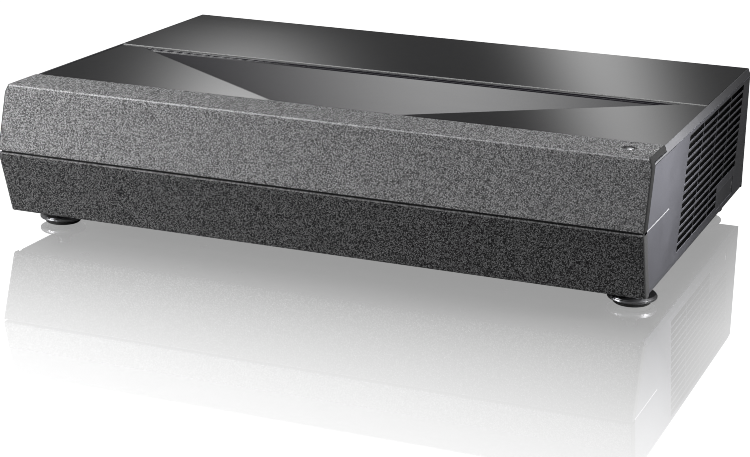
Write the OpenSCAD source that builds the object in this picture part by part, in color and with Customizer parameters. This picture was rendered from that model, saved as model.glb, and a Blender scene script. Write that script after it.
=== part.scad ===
// Ultra-short-throw home projector with a fabric-fronted sound bar.
// Frame: +Z up, -Y is the front (fabric), origin on the table under the middle of the body.

/* [Body] */
// Overall width across the side panels
body_w = 560; // [540:5:600]
// Overall depth, from the crease of the front to the back
body_d = 381; // [375:1:395]
// Overall height, from the table to the rear lid
body_h = 131; // [129:1:136]
// Height of the underside above the table
underside_z = 19; // [18:0.5:21]
// Thickness of the outer panels
wall = 3; // [2.4:0.1:3.4]

/* [Front] */
// Height of the crease between the two fabric panels
crease_z = 76; // [70:1:80]
// How far the front's top edge leans back from the crease
lean_top = 15; // [10:0.5:16]
// How far the front's bottom edge leans back from the crease
lean_bottom = 20; // [16:0.5:24]
// Depth of the fabric strip on the top
strip_d = 46; // [42:0.5:48]
// How far the fabrics wrap round onto the ends
wrap_d = 8; // [6:0.5:9]

/* [Top] */
// Depth of the rear lid
lid_d = 167.5; // [160:0.5:172]
// Height of the step between the rear lid and the top cover
lid_step = 0.8; // [0.5:0.1:1.2]
// Half width of the light recess at its wide rear edge
recess_rear = 254; // [240:1:256]
// Half width of the light recess at its narrow front edge
recess_front = 56; // [50:1:62]
// Depth of the light recess at the exit window
recess_deep = 20; // [16:1:21]

/* [Grilles] */
// Number of slots in a side grille, one above another
grille_rows = 14; // [10:1:14]
// Distance from one slot to the next
grille_pitch = 6.72; // [6:0.02:6.8]
// Height of a bar between two slots
grille_bar = 1.6; // [1.4:0.1:2.2]

/* [Feet] */
// Radius of a foot's disc
foot_r = 20; // [16:1:22]
// Radius of a foot's screw
foot_screw_r = 5; // [4:0.5:6]
// How far a foot screws out
foot_travel = 8; // [6:1:10]

/* [Moving parts] */
// Travel of the power button
button_travel = 1.2; // [0.8:0.1:1.5]
// Radius of the power button
button_r = 4.2; // [3.5:0.1:5]
// Size of a fan's square frame
fan_size = 80; // [76:1:84]
// Teeth of the focus ring
ring_teeth = 84; // [84:84:84]
// Teeth of the focus motor's pinion
pinion_teeth = 14; // [14:14:14]
// Module of the focus gears
gear_module = 0.8; // [0.8:0.1:0.8]

/* [Hidden] */
$fn = 48;

// Gaps: e hides a coincident face inside a cut, fit is a running fit, gap parts two panels.
e = 0.5;
fit = 0.06;
gap = 0.3;

hw = body_w / 2;
hd = body_d / 2;
cover_z = body_h - lid_step;
strip_y = -hd + lean_top + strip_d;
lid_y = hd - lid_d;

// Rails along the top's long sides: a steep bevel above a seam.
rail_seam_z = body_h - 6.2;
rail_in = 2.4;
rail_w = 2.9;
lip_z = rail_seam_z + 1.5;
plate_t = 2.6;

// Half width of the lattice that carries the fabrics, and the fabrics' thickness.
frame_x = hw - 1.3;
cloth_t = 1.2;

// Side grille, in the Y-Z plane. Its ends lean with the front.
grille_top_z = 123.4;
grille_front_y = -50;
grille_front_lean = -0.26;
grille_rear_y = 162;
grille_rear_lean = -0.22;
grille_step_z = 45.5;
grille_step_y = 71;
rib_y = [4, 59, 111];
rib_lean = -0.23;
rib_t = 1.3;
rib_back = 0.4;

// Small cover low on the right side, behind the grille's step.
service_y = [76, 141];
service_z = [26, 42];

button_at = [254.9, -150.5];
light_x = [194, 214.5];

// Light path. The lens looks forward into the mirror, which throws it up and back.
lens_z = 66;
window_rear_y = -76;
window_t = 2.4;

// Focus gears.
ring_r = ring_teeth * gear_module / 2;
pinion_r = pinion_teeth * gear_module / 2;
ring_y = -30;
ring_w = 9;
focus_pin_y = ring_y + ring_w / 2;

// Feet, fans, speakers and ceiling-mount holes.
foot_xy = [[-258, -124], [258, -124], [-250, 152], [250, 152]];
fan_y = [-18, 84];
fan_z = 76;
fan_x = 259;
fan_t = 25;
woofer_x = 165;
tweeter_x = 238;
speaker_z = 70;
baffle_y = -167;
mount_xy = [[-140, -85], [140, -85], [-140, 135], [140, 135]];
mount_r = 2.5;
mount_deep = 13;
engine_xy = [[-44, 56], [66, 56], [-44, 110], [66, 110]];
bracket_xy = [[-80, -140], [80, -140]];
speaker_xy = [[128, -150], [222, -150]];
supply_xy = [[-228, -60], [-84, -60], [-228, 38], [-84, 38]];
sink_xy = [[190, -22], [236, -22], [190, 126], [236, 126]];
screw_xy = concat(engine_xy, bracket_xy, speaker_xy, [for (p = speaker_xy) [-p.x, p.y]],
    supply_xy, sink_xy);
screw_r = 1.5;
board_post_xy = [[-230, 68], [-66, 68], [-230, 171.5], [-66, 171.5]];
board_z = 38;
rear_screw_x = [-262, -20, 262];
rear_screw_z = [30, 104];

// Sockets on the main board: [x, width, height, depth, wall].
hdmi = [for (i = [0 : 2]) [-222 + i * 22, 16, 7, 14, 0.8]];
usb = [for (i = [0 : 1]) [-156 + i * 18, 14.5, 7.5, 15, 0.8]];
lan = [[-115, 16.4, 14, 17, 1.2]];
optical = [[-95, 11, 10.5, 12, 1.4]];
jack_x = -78;
socket_y = 189.8;

// Y of the front's outer surface at a height.
function front_y(z) = z > crease_z
    ? -hd + lean_top * (z - crease_z) / (body_h - crease_z)
    : -hd + lean_bottom * (crease_z - z) / (crease_z - underside_z);

// Y of the front edge of a side panel or rail, just behind the fabric's wrap.
function panel_front(z) = front_y(z) + wrap_d + 1.5;

// Points on an arc, for outlines.
function arc(c, r, a0, a1, n) =
    [for (i = [0 : n]) c + r * [cos(a0 + (a1 - a0) * i / n), sin(a0 + (a1 - a0) * i / n)]];

// Y of the grille's two ends at a height.
function grille_front(z) = grille_front_y + grille_front_lean * (grille_top_z - z);
function grille_rear(z) = z > grille_step_z
    ? grille_rear_y + grille_rear_lean * (grille_top_z - z) : grille_step_y;

// Half width of the light recess at a depth in Y.
function recess_half(y, grow = 0) = recess_front + grow
    + (recess_rear - recess_front) * (y - strip_y - 4) / (lid_y - strip_y - 8);

// Extrudes an outline drawn in Y-Z along X, from x0 to x1.
module along_x(x0, x1) {
    translate([x0, 0, 0]) rotate([90, 0, 90]) linear_extrude(x1 - x0) children();
}

// Extrudes an outline drawn in X-Z along Y, from y0 to y1.
module along_y(y0, y1) {
    translate([0, y1, 0]) rotate([90, 0, 0]) linear_extrude(y1 - y0) children();
}

// Turns a profile of [radius, y] around the Y axis through [x, z].
module turned_y(x, z) {
    translate([x, 0, z]) rotate([-90, 0, 0]) rotate_extrude() children();
}

// A cylinder along Z, X or Y.
module rod_z(x, y, z0, z1, r) { translate([x, y, z0]) cylinder(r = r, h = z1 - z0); }
module rod_x(x0, x1, y, z, r) {
    translate([x0, y, z]) rotate([0, 90, 0]) cylinder(r = r, h = x1 - x0);
}
module rod_y(x, y0, y1, z, r) {
    translate([x, y0, z]) rotate([-90, 0, 0]) cylinder(r = r, h = y1 - y0);
}

// A box from its lowest to its highest corner.
module box(a, b) { translate(a) cube(b - a); }

// A tube along Z.
module tube_z(x, y, z0, z1, r_out, r_in) {
    difference() {
        rod_z(x, y, z0, z1, r_out);
        rod_z(x, y, z0 - e, z1 + e, r_in);
    }
}

/* ---- Casing ---- */

module base_tray() {
    front = front_y(underside_z) + 4;
    side = hw - wall - gap;
    back = hd - wall - gap;
    color("#2b2c2e") difference() {
        union() {
            box([-side, front, underside_z], [side, back, underside_z + 3]);
            for (m = [0, 1]) mirror([m, 0, 0])
                box([side - 2.4, front + 4, underside_z + 1], [side, back, 29]);
            box([-side, back - 2.4, underside_z + 1], [side, back, 29]);
            for (x = rear_screw_x) box([x - 5, back - 9, underside_z + 1], [x + 5, back, 110]);
            for (p = foot_xy) rod_z(p.x, p.y, underside_z + 1, 40, 9);
            for (p = mount_xy) rod_z(p.x, p.y, underside_z + 1, 34, 6);
            for (p = board_post_xy) rod_z(p.x, p.y, underside_z + 1, board_z - 0.05, 3.6);
        }
        for (p = foot_xy) rod_z(p.x, p.y, underside_z - e, 40 + e, foot_screw_r + fit);
        for (p = mount_xy) rod_z(p.x, p.y, underside_z - e, underside_z + mount_deep, mount_r);
        for (p = screw_xy) {
            rod_z(p.x, p.y, underside_z - e, 30, screw_r + fit);
            rod_z(p.x, p.y, underside_z - e, underside_z + 1.9, 3.6);
        }
        for (p = board_post_xy) rod_z(p.x, p.y, 28, board_z + e, screw_r + fit);
        for (x = rear_screw_x, z = rear_screw_z) rod_y(x, back - 10, hd, z, screw_r + fit);
        // Intake slots under the power supply.
        for (x = [-185, -120], i = [0 : 10])
            box([x - 28, -48 + 7 * i, underside_z - e], [x + 28, -44.6 + 7 * i, 24]);
    }
}

// Outline of a side panel in Y-Z, below the rail's seam.
module side_outline() {
    top = rail_seam_z - gap;
    polygon([[panel_front(underside_z), underside_z], [hd - wall - gap, underside_z],
        [hd - wall - gap, top], [panel_front(top), top], [panel_front(crease_z), crease_z]]);
}

// One slot of the grille as an outline, with ends that lean.
module slot_outline(row, y_from, y_to, lean) {
    top = grille_top_z - row * grille_pitch - grille_bar;
    bottom = grille_top_z - (row + 1) * grille_pitch;
    polygon([[y_from, bottom], [y_to, bottom],
        [y_to - lean * (top - bottom), top], [y_from - lean * (top - bottom), top]]);
}

// A side panel at the right, with long slots cut in from outside and ribs set back behind them.
module side_panel() {
    inner = hw - wall;
    difference() {
        union() {
            along_x(inner, hw) side_outline();
            box([inner - 3, -90, 108], [inner + e, -80, 112]);
            box([inner - 3, 170, 108], [inner + e, 180, 112]);
            box([inner - 2.6, -140, 30], [inner + e, -84, 33]);
        }
        for (row = [0 : grille_rows - 1]) {
            z = grille_top_z - (row + 1) * grille_pitch;
            y0 = grille_front(z);
            y1 = grille_rear(z);
            ends = concat([y0], [for (y = rib_y) if (y + rib_lean * (grille_top_z - z) < y1 - 8)
                y + rib_lean * (grille_top_z - z)], [y1]);
            along_x(hw - rib_back, hw + e) slot_outline(row, y0, y1, grille_front_lean);
            for (i = [0 : len(ends) - 2])
                along_x(inner - e, hw - rib_back + 0.01)
                    slot_outline(row, ends[i] + (i == 0 ? 0 : rib_t / 2),
                        ends[i + 1] - (i == len(ends) - 2 ? 0 : rib_t / 2), rib_lean);
        }
        // Seat of the accent strip, at the crease's height, and a chamfer along the bottom edge.
        box([hw - 0.6, panel_front(crease_z) + 0.2, crease_z - 0.7], [hw + e, -110, crease_z + 0.7]);
        along_y(-hd, hd) polygon([[hw - 1.4, underside_z - e], [hw + e, underside_z - e],
            [hw + e, underside_z + 5], [hw, underside_z + 5], [hw - 1.4, underside_z]]);
    }
}

module left_side_panel() { color("#55565a") mirror([1, 0, 0]) side_panel(); }

module right_side_panel() {
    color("#55565a") difference() {
        side_panel();
        box([hw - 1, service_y[0], service_z[0]], [hw + e, service_y[1], service_z[1]]);
    }
}

module service_cover() {
    color("#4a4b4e") difference() {
        box([hw - 1, service_y[0] + 0.25, service_z[0] + 0.25],
            [hw - 0.2, service_y[1] - 0.25, service_z[1] - 0.25]);
        box([hw - 0.6, service_y[1] - 4, service_z[0] + 5], [hw, service_y[1] - 2.6, service_z[1] - 5]);
    }
}

// The outline of a rail: a steep bevel outside and a shelf inside that carries the top.
module rail_outline() {
    top = body_h;
    polygon([[hw, rail_seam_z], [hw - rail_in, top], [hw - rail_w, top],
        [hw - rail_w, cover_z - plate_t - gap], [hw - 11, cover_z - plate_t - gap],
        [hw - 11, rail_seam_z], [hw - rail_w, rail_seam_z]]);
}

// Behind the fabric the rail is a full band. Beside it only a thin lip runs on, under the fabric's end.
module top_rail() {
    along_y(strip_y + 0.9, hd) rail_outline();
    along_y(panel_front(rail_seam_z), strip_y + 1) intersection() {
        rail_outline();
        translate([hw - rail_w, 0]) square([10, lip_z]);
    }
}

module left_top_rail() { color("#77787b") mirror([1, 0, 0]) top_rail(); }
module right_top_rail() { color("#77787b") top_rail(); }

// The recess as seen from above: wide at the rear lid, narrow at the fabric.
module recess_plan(grow = 0) {
    y0 = strip_y + 4 - grow;
    y1 = lid_y - 4 + grow;
    polygon([[-recess_half(y0, grow), y0], [recess_half(y0, grow), y0],
        [recess_half(y1, grow), y1], [-recess_half(y1, grow), y1]]);
}

// The recess in Y-Z: a floor that rises to the rear, and a flat seat for the window.
module recess_side(drop = 0) {
    top = cover_z + 5;
    floor_z = cover_z - recess_deep - drop;
    polygon([[strip_y + 3, floor_z], [window_rear_y, floor_z + 3],
        [window_rear_y, floor_z + 4.4], [lid_y - 4, cover_z - 1.2 - drop],
        [lid_y + 2, cover_z - 1.2 - drop], [lid_y + 2, top], [strip_y + 3, top]]);
}

module top_cover() {
    side = hw - rail_w - 0.1;
    color("#1c1c1e") difference() {
        union() {
            box([-side, strip_y + gap, cover_z - plate_t], [side, lid_y - 0.2, cover_z]);
            for (x = [-200, 200], y = [-60, -100])
                rod_z(x, y, cover_z - 10, cover_z - 1, 3.5);
        }
        translate([0, 0, cover_z - 10]) linear_extrude(20) recess_plan(0.25);
        box([-117, strip_y, cover_z - 10], [117, strip_y + 1.6, cover_z + e]);
        for (x = light_x) rod_z(x, strip_y + 2.4, cover_z - 10, cover_z + e, 1.25);
        for (x = [-200, 200], y = [-60, -100]) rod_z(x, y, cover_z - 11, cover_z - 4, 1.3);
    }
}

module rear_lid() {
    side = hw - rail_w - 0.1;
    color("#141416") difference() {
        union() {
            box([-side, lid_y, cover_z - plate_t], [side, hd, body_h]);
            for (x = [-220, -75, 75, 220]) box([x - 5, hd - 14, cover_z - 8], [x + 5, hd - 11, cover_z - 1]);
        }
        // Shelf in the underside that lets the lid hook over the top cover.
        box([-side + 14, lid_y + 12, cover_z - plate_t - e], [side - 14, hd - 20, cover_z - plate_t + 1]);
    }
}

// The insert that lines the recess: a tapering hood of thin walls, open under the window.
module lens_bay() {
    wall_t = 2;
    color("#26262a") difference() {
        union() {
            intersection() {
                translate([0, 0, cover_z - 40]) linear_extrude(40 - plate_t) recess_plan(wall_t);
                along_x(-hw, hw) recess_side(wall_t + window_t);
            }
            intersection() {
                translate([0, 0, cover_z - 40]) linear_extrude(40) recess_plan(0);
                along_x(-hw, hw) recess_side(wall_t + window_t);
            }
        }
        intersection() {
            translate([0, 0, cover_z - 40]) linear_extrude(80) recess_plan(-1.6);
            along_x(-hw, hw) recess_side(0);
        }
        // Seat of the window and the hole below it.
        intersection() {
            translate([0, 0, cover_z - 40]) linear_extrude(80) recess_plan(-1.6);
            along_x(-hw, hw) polygon([[strip_y + 5.6, cover_z - recess_deep - window_t],
                [window_rear_y - 2, cover_z - recess_deep - window_t + 2.9],
                [window_rear_y - 2, cover_z], [strip_y + 5.6, cover_z]]);
        }
        intersection() {
            translate([0, 0, 80]) linear_extrude(60) recess_plan(-6);
            box([-hw, strip_y + 8, 80], [hw, window_rear_y - 5, cover_z]);
        }
    }
}

module exit_window() {
    low = cover_z - recess_deep - window_t;
    color("#101820") intersection() {
        translate([0, 0, 80]) linear_extrude(60) recess_plan(-1.8);
        along_x(-hw, hw) polygon([[strip_y + 5.9, low + 0.1], [window_rear_y - 2.3, low + 2.95],
            [window_rear_y - 2.3, low + 2.9 + window_t], [strip_y + 5.9, low + 0.05 + window_t]]);
    }
}

module rear_panel() {
    z1 = cover_z - plate_t - gap;
    y0 = hd - wall;
    color("#232325") difference() {
        union() {
            box([-hw + 0.4, y0, underside_z + 0.2], [hw - 0.4, hd, rail_seam_z - gap]);
            box([-hw + 12, y0, rail_seam_z - 1], [hw - 12, hd, z1]);
        }
        // Holes for the sockets, the mains inlet, the lock slot and the vents.
        for (k = concat(hdmi, usb, lan, optical))
            box([k[0] - k[1] / 2 - 0.3, y0 - e, board_z + 1.3],
                [k[0] + k[1] / 2 + 0.3, hd + e, board_z + 2 + k[2]]);
        rod_y(jack_x, y0 - e, hd + e, board_z + 7.2, 3.2);
        box([193.4, y0 - e, 32.6], [224.6, hd + e, 57.4]);
        box([252, y0 - e, 44], [255.6, hd + e, 51.5]);
        for (side = [-1, 1], row = [0 : 5], column = [0 : 2])
            box([side * 150 - 84 + 57 * column, y0 - e, 76 + 7 * row],
                [side * 150 - 30 + 57 * column, hd + e, 79.6 + 7 * row]);
        for (x = rear_screw_x, z = rear_screw_z) {
            rod_y(x, y0 - e, hd + e, z, 1.6);
            rod_y(x, hd - 1.9, hd + e, z, 3.4);
        }
    }
}

/* ---- Front ---- */

// A layer of the front as an outline in Y-Z, between two depths under the outer surface.
module front_layer(z0, z1, out, in, with_top) {
    lean = atan(lean_top / (body_h - crease_z));
    edge = 1.6;
    mid_z = body_h - edge;
    outer = concat([[front_y(z0) + out, z0]],
        z1 > crease_z && z0 < crease_z ? [[front_y(crease_z) + out, crease_z]] : [],
        with_top ? concat(arc([front_y(mid_z) + edge / cos(lean), mid_z], edge - out, 180 - lean, 90, 5),
                [[strip_y - out - 0.2, body_h - out]])
            : [[front_y(z1) + out, z1]]);
    inner = concat(with_top ? [[strip_y - out - 0.2, body_h - in], [front_y(body_h - in) + in, body_h - in]]
            : [[front_y(z1) + in, z1]],
        z1 > crease_z && z0 < crease_z ? [[front_y(crease_z) + in, crease_z]] : [],
        [[front_y(z0) + in, z0]]);
    polygon(concat(outer, inner));
}

// The end of the front as a band in Y-Z, between two depths behind its surface.
module end_band(z0, z1, from, to) {
    middle = z0 < crease_z && z1 > crease_z;
    polygon(concat([[front_y(z0) + from, z0]], middle ? [[front_y(crease_z) + from, crease_z]] : [],
        [[front_y(z1) + from, z1], [front_y(z1) + to, z1]],
        middle ? [[front_y(crease_z) + to, crease_z]] : [], [[front_y(z0) + to, z0]]));
}

// The front seen from ahead: its top ends slope with the rails' bevel.
module cap_outline() {
    polygon([[-hw, 0], [hw, 0], [hw, rail_seam_z], [hw - rail_in, body_h], [hw - rail_in, body_h + 1],
        [rail_in - hw, body_h + 1], [rail_in - hw, body_h], [-hw, rail_seam_z]]);
}

module upper_fabric() {
    z0 = crease_z + 1;
    color("#6f7073") difference() {
        intersection() {
            union() {
                along_x(-hw, hw) front_layer(z0, body_h, 0, cloth_t, true);
                for (m = [0, 1]) mirror([m, 0, 0]) {
                    along_x(hw - cloth_t, hw) end_band(z0, lip_z + 1.4, 0.2, wrap_d);
                    // The sloping end of the top, above the rail's lip.
                    along_x(hw - 4, hw) polygon([[front_y(lip_z + 1) + 0.2, lip_z + 1],
                        [strip_y - 1.6, lip_z + 1], [strip_y - 1.6, body_h - 0.4],
                        [front_y(body_h - 0.4) + 0.5, body_h - 0.4]]);
                }
            }
            along_y(-hd - e, strip_y + e) cap_outline();
        }
        rod_z(button_at.x, button_at.y, body_h - 6, body_h + e, button_r + 2.05);
    }
}

module lower_fabric() {
    z0 = underside_z + 0.4;
    color("#3a3a3c") {
        along_x(-hw, hw) front_layer(z0, crease_z - 1, 0, cloth_t, false);
        for (m = [0, 1]) mirror([m, 0, 0])
            along_x(hw - cloth_t, hw) end_band(z0, crease_z - 1, 0.2, wrap_d);
    }
}

// The moulded lattice under the fabrics, with a return at each end.
module grille_frame() {
    z0 = underside_z + 0.6;
    end_z = 122.5;
    color("#202022") difference() {
        intersection() {
            union() {
                along_x(-frame_x, frame_x) union() {
                    front_layer(z0, crease_z - 1.6, 1.25, 3.2, false);
                    front_layer(crease_z - 1.6, crease_z + 1.6, 3, 5.2, false);
                    front_layer(crease_z + 1.6, body_h, 1.25, 3.2, true);
                }
                for (m = [0, 1]) mirror([m, 0, 0])
                    along_x(frame_x - 1.4, frame_x) end_band(z0, end_z, 3, wrap_d - 0.4);
            }
            along_y(-hd - e, strip_y + e) polygon([[-frame_x, 0], [frame_x, 0], [frame_x, end_z],
                [hw - 4.1, end_z + 1.5], [hw - 4.1, 200], [4.1 - hw, 200], [4.1 - hw, end_z + 1.5],
                [-frame_x, end_z]]);
        }
        for (i = [0 : 24]) {
            x = -262 + i * 21;
            box([x, -200, underside_z + 8], [x + 17, -150, crease_z - 8]);
            box([x, -200, crease_z + 8], [x + 17, -170, body_h - 12]);
        }
        rod_z(button_at.x, button_at.y, body_h - 8, body_h + e, button_r + 2.05);
    }
}

module front_baffle() {
    color("#2c2c2e") difference() {
        union() {
            box([-270, baffle_y, 22.1], [270, baffle_y + 3, 122]);
            box([-270, baffle_y, 119], [270, baffle_y + 12, 122]);
        }
        for (s = [-1, 1]) {
            rod_y(s * woofer_x, baffle_y - e, baffle_y + 4, speaker_z, 31);
            rod_y(s * tweeter_x, baffle_y - e, baffle_y + 4, speaker_z, 15);
        }
        for (x = [-210 : 140 : 210]) rod_y(x, baffle_y - e, baffle_y + 4, 114, 1.6);
    }
}

// The inlays that carry the groove's line on along the sides.
module accent_strips() {
    color("#8a8b8e") for (m = [0, 1]) mirror([m, 0, 0])
        box([hw - 0.55, panel_front(crease_z) + 0.4, crease_z - 0.6], [hw, -110.2, crease_z + 0.6]);
}

// Fine screens behind the side grilles.
module vent_screens() {
    color("#0c0c0d") for (m = [0, 1]) mirror([m, 0, 0])
        along_x(hw - wall - 1.4, hw - wall - 0.4) difference() {
            polygon([[-84, 30], [168, 30], [168, 123.6], [-84, 123.6]]);
            translate([166, 106]) square([20, 8]);
            translate([-90, 106]) square([12, 8]);
        }
}

/* ---- Controls ---- */

// The button's foot, a dished cap on a stem.
module power_button() {
    top = body_h - 0.1;
    color("#c8c9cc") translate([button_at.x, button_at.y, 0]) rotate_extrude() polygon([
        [0, 114.9], [1.6, 114.9], [1.6, 125.4], [button_r, 125.4],
        [button_r, top - 0.5], [button_r - 0.5, top], [button_r - 1.2, top - 0.1],
        [2.6, top - 0.7], [0, top - 0.8]]);
}

module button_bezel() {
    color("#3c3d40") tube_z(button_at.x, button_at.y, 123.4, body_h, button_r + 2, button_r + 0.12);
}

module button_board() {
    z = 108;
    color("#1f5a34") {
        difference() {
            union() {
                box([button_at.x - 17, button_at.y - 2, z], [button_at.x + 17, button_at.y + 28, z + 1.6]);
                for (x = [-13, 13]) rod_z(button_at.x + x, button_at.y + 24, 104.1, z + e, 3);
            }
            for (x = [-13, 13]) rod_z(button_at.x + x, button_at.y + 24, z - 2, z + 2, 1.6);
        }
    }
    color("#222224") {
        box([button_at.x - 3, button_at.y - 1.9, z + 1.6], [button_at.x + 3, button_at.y + 3, z + 4.4]);
        rod_z(button_at.x, button_at.y, z + 4.4, z + 5.6, 1.5);
        box([button_at.x - 12, button_at.y + 12, z + 1.6], [button_at.x - 4, button_at.y + 16, z + 5]);
    }
}

module status_lights() {
    color("#e8eef2") for (x = light_x) {
        rod_z(x, strip_y + 2.4, cover_z - 9, cover_z + 0.15, 1.15);
        box([x - 2.4, strip_y + 0.2, cover_z - 12], [x + 2.4, strip_y + 4.8, cover_z - 9.4 + 0.5]);
    }
}

/* ---- Projection optics ---- */

module aspheric_mirror() {
    color("#c9ced4") difference() {
        box([-82, -157, 46], [82, -131, 104]);
        translate([0, -2, 78]) sphere(r = 152, $fn = 96);
    }
}

module mirror_bracket() {
    color("#3a3b3e") difference() {
        union() {
            box([-92, -160.2, 24], [92, -157.1, 100]);
            box([-92, -160.2, 22.1], [92, -134, 25]);
            for (x = [-92, 89]) box([x, -160, 24], [x + 3, -136, 90]);
        }
        rod_y(0, -162, -156, 72, 24);
        for (p = bracket_xy) rod_z(p.x, p.y, 20, 30, screw_r + fit);
    }
}

// One turned tube, with a slot over the pin of the focusing carrier, and a foot.
module lens_barrel() {
    collar = ring_y + ring_w + 0.6;
    color("#3f4043") difference() {
        union() {
            turned_y(0, lens_z) polygon([[22, 48.6], [37, 48.6], [37, 44], [26, 44],
                [26, collar + 3], [30, collar + 3], [30, collar], [26, collar], [26, -58],
                [33, -62], [33, -92], [27.4, -92], [27.4, -62], [22, -58]]);
            box([-14, -3, 22.1], [14, 25, 26]);
            box([-3, -3, 25], [3, 25, 42]);
        }
        box([-1.7, focus_pin_y - 5.8, lens_z + 18], [1.7, focus_pin_y + 5.8, lens_z + 31]);
    }
}

// A lens as a turned profile: two spherical faces and a cylindrical edge.
module lens(y, r, t, bulge_front, bulge_back) {
    n = 8;
    turned_y(0, lens_z) polygon(concat(
        [for (i = [0 : n]) [r * i / n, y - bulge_front * (1 - pow(i / n, 2))]],
        [for (i = [n : -1 : 0]) [r * i / n, y + t + bulge_back * (1 - pow(i / n, 2))]]));
}

module fixed_lenses() {
    color([0.75, 0.85, 0.92, 0.5]) {
        lens(-86, 27.2, 7, 6, -2);
        lens(-72, 27.2, 5, -3, 3);
        lens(14, 21.8, 6, 3, 3);
        lens(30, 21.8, 6, 3, 2);
    }
}

// The carrier that slides in the barrel, with its two lenses.
module focus_lens_group() {
    color("#55575b") {
        turned_y(0, lens_z) polygon([[18, -48], [22 - fit, -48], [22 - fit, -14], [18, -14]]);
        rod_z(0, focus_pin_y, lens_z + 20, lens_z + 25.7, 1.5);
    }
    color([0.75, 0.85, 0.92, 0.5]) {
        lens(-43, 17.9, 5, 2.5, 2);
        lens(-26, 17.9, 5, 2, -1.5);
    }
}

// A gear outline with straight flanks, thinned for backlash.
module gear_outline(teeth, bore, turn = 0) {
    r = teeth * gear_module / 2;
    tip = r + 0.7 * gear_module;
    root = r - 0.95 * gear_module;
    step = 360 / teeth;
    difference() {
        rotate(turn) polygon([for (i = [0 : teeth - 1], p = [[root, -0.31], [r, -0.2], [tip, -0.09],
            [tip, 0.09], [r, 0.2], [root, 0.31]]) p[0] * [cos((i + p[1]) * step), sin((i + p[1]) * step)]]);
        circle(r = bore);
    }
}

module focus_ring() {
    color("#8f9195") translate([0, ring_y + ring_w, lens_z]) rotate([90, 0, 0])
        linear_extrude(ring_w) gear_outline(ring_teeth, 26 + fit);
}

module focus_pinion() {
    color("#d8d2c0") {
        translate([-ring_r - pinion_r, ring_y + ring_w - 0.5, lens_z]) rotate([90, 0, 0])
            linear_extrude(ring_w - 1) gear_outline(pinion_teeth, 1.2, 180 / pinion_teeth);
        rod_y(-ring_r - pinion_r, ring_y - 1, ring_y + ring_w + 3, lens_z, 1.2);
    }
}

module focus_motor() {
    x = -ring_r - pinion_r;
    y0 = ring_y + ring_w + 0.6;
    color("#9a9ca0") difference() {
        union() {
            rod_y(x, y0 + 2, y0 + 26, lens_z, 9);
            box([x - 12, y0, lens_z - 12], [x + 12, y0 + 2.2, lens_z + 12]);
        }
        rod_y(x, y0 - e, y0 + 6, lens_z, 1.2 + fit);
        rod_y(0, y0 - e, y0 + 4, lens_z, 30.1);
    }
}

/* ---- Light engine ---- */

// Two chambers: the imaging optics behind the lens, and the phosphor wheel beside them.
module light_engine_case() {
    color("#8d8f92") {
        difference() {
            union() {
                box([-50, 49, 36], [74, 118, 100]);
                box([73, 14, 36], [134, 53, 104]);
                for (p = engine_xy) rod_z(p.x, p.y, 22.1, 37, 4);
            }
            box([-46, 53, 40], [70, 114, 96.4]);
            box([77, 18, 40], [130, 49, 100.4]);
            rod_y(0, 48, 54, lens_z, 22);
            box([-14, 113, 55], [14, 119, 77]);
            rod_y(108, 10, 20, 60, 11);
            // Light passage between the chambers.
            translate([79, 47.3, 72]) rotate([0, 90, 146.3]) cylinder(r = 1.2, h = 12.5);
            for (p = engine_xy) rod_z(p.x, p.y, 21, 32, screw_r + fit);
        }
        // Seats of the prism, the relay lens, the mirror and the two motors.
        box([-13, 80, 39], [13, 104, 48]);
        box([20, 80, 39], [36, 88, 59.8]);
        box([-40, 82, 39], [-18, 86, 60]);
        box([42, 71.8, 39], [50, 80, 60]);
        box([100, 38, 39], [110, 48, 60]);
    }
}

module relay_optics() {
    color([0.7, 0.85, 0.9, 0.5]) {
        along_x(-13, 13) polygon([[80, 48.1], [104, 48.1], [104, 84], [80, 54]]);
        rod_x(20, 36, 84, 66, 6);
        box([-40, 82, 60.1], [-18, 85, 80]);
    }
}

module dmd_board() {
    color("#1f5a34") difference() {
        box([-42, 118.4, 34], [44, 120, 98]);
        rod_y(0, 117, 122, lens_z, 13.6);
    }
    color("#b9bcc0") box([-13, 115.4, 56], [13, 118.6, 76]);
    color("#dcd6c4") box([-36, 119.9, 40], [-14, 125, 46]);
}

module dmd_heatsink() {
    color("#b4b7ba") {
        rod_y(0, 118.7, 126.5, lens_z, 13.2);
        box([-30, 126, 48], [34, 130, 92]);
        for (i = [0 : 12]) box([-30 + i * 5.2, 130 - e, 48], [-28.4 + i * 5.2, 158, 92]);
    }
}

// Copper plate with a grid of laser diodes, in a hood that faces the phosphor wheel.
module laser_module() {
    color("#a06a44") {
        box([92, -48, 36], [150, -42, 96]);
        for (x = [98, 144]) rod_z(x, -45, 22.1, 37, 2.9);
    }
    color("#6f7276") for (i = [0 : 3], j = [0 : 3])
        rod_y(100 + i * 14, -42 - e, -34, 46 + j * 13, 5);
    color("#222224") difference() {
        box([93, -42 - e, 38], [149, 13.6, 94]);
        box([95, -43, 40], [147, 11.6, 92]);
        rod_y(108, 10, 15, 60, 11);
    }
}

// Fins on three heat pipes, each with one elbow from the back of the laser's plate.
module laser_heatsink() {
    bend = 12;
    pipe_y = -51.1;
    color("#b4b7ba") {
        difference() {
            box([184, -28, 22.1], [242, 132, 25]);
            for (p = sink_xy) rod_z(p.x, p.y, 20, 30, screw_r + fit);
        }
        for (i = [0 : 17]) box([184, 14 + i * 6, 24.5], [242, 15 + i * 6, 114]);
        for (i = [0 : 2]) {
            z = 52 + i * 18;
            x = 200 + i * 13;
            rod_x(96, x - bend, pipe_y, z, 3);
            translate([x - bend, pipe_y + bend, z]) rotate([0, 0, -90])
                rotate_extrude(angle = 90) translate([bend, 0]) circle(r = 3);
            rod_y(x, pipe_y + bend, 120, z, 3);
        }
    }
}

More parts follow.
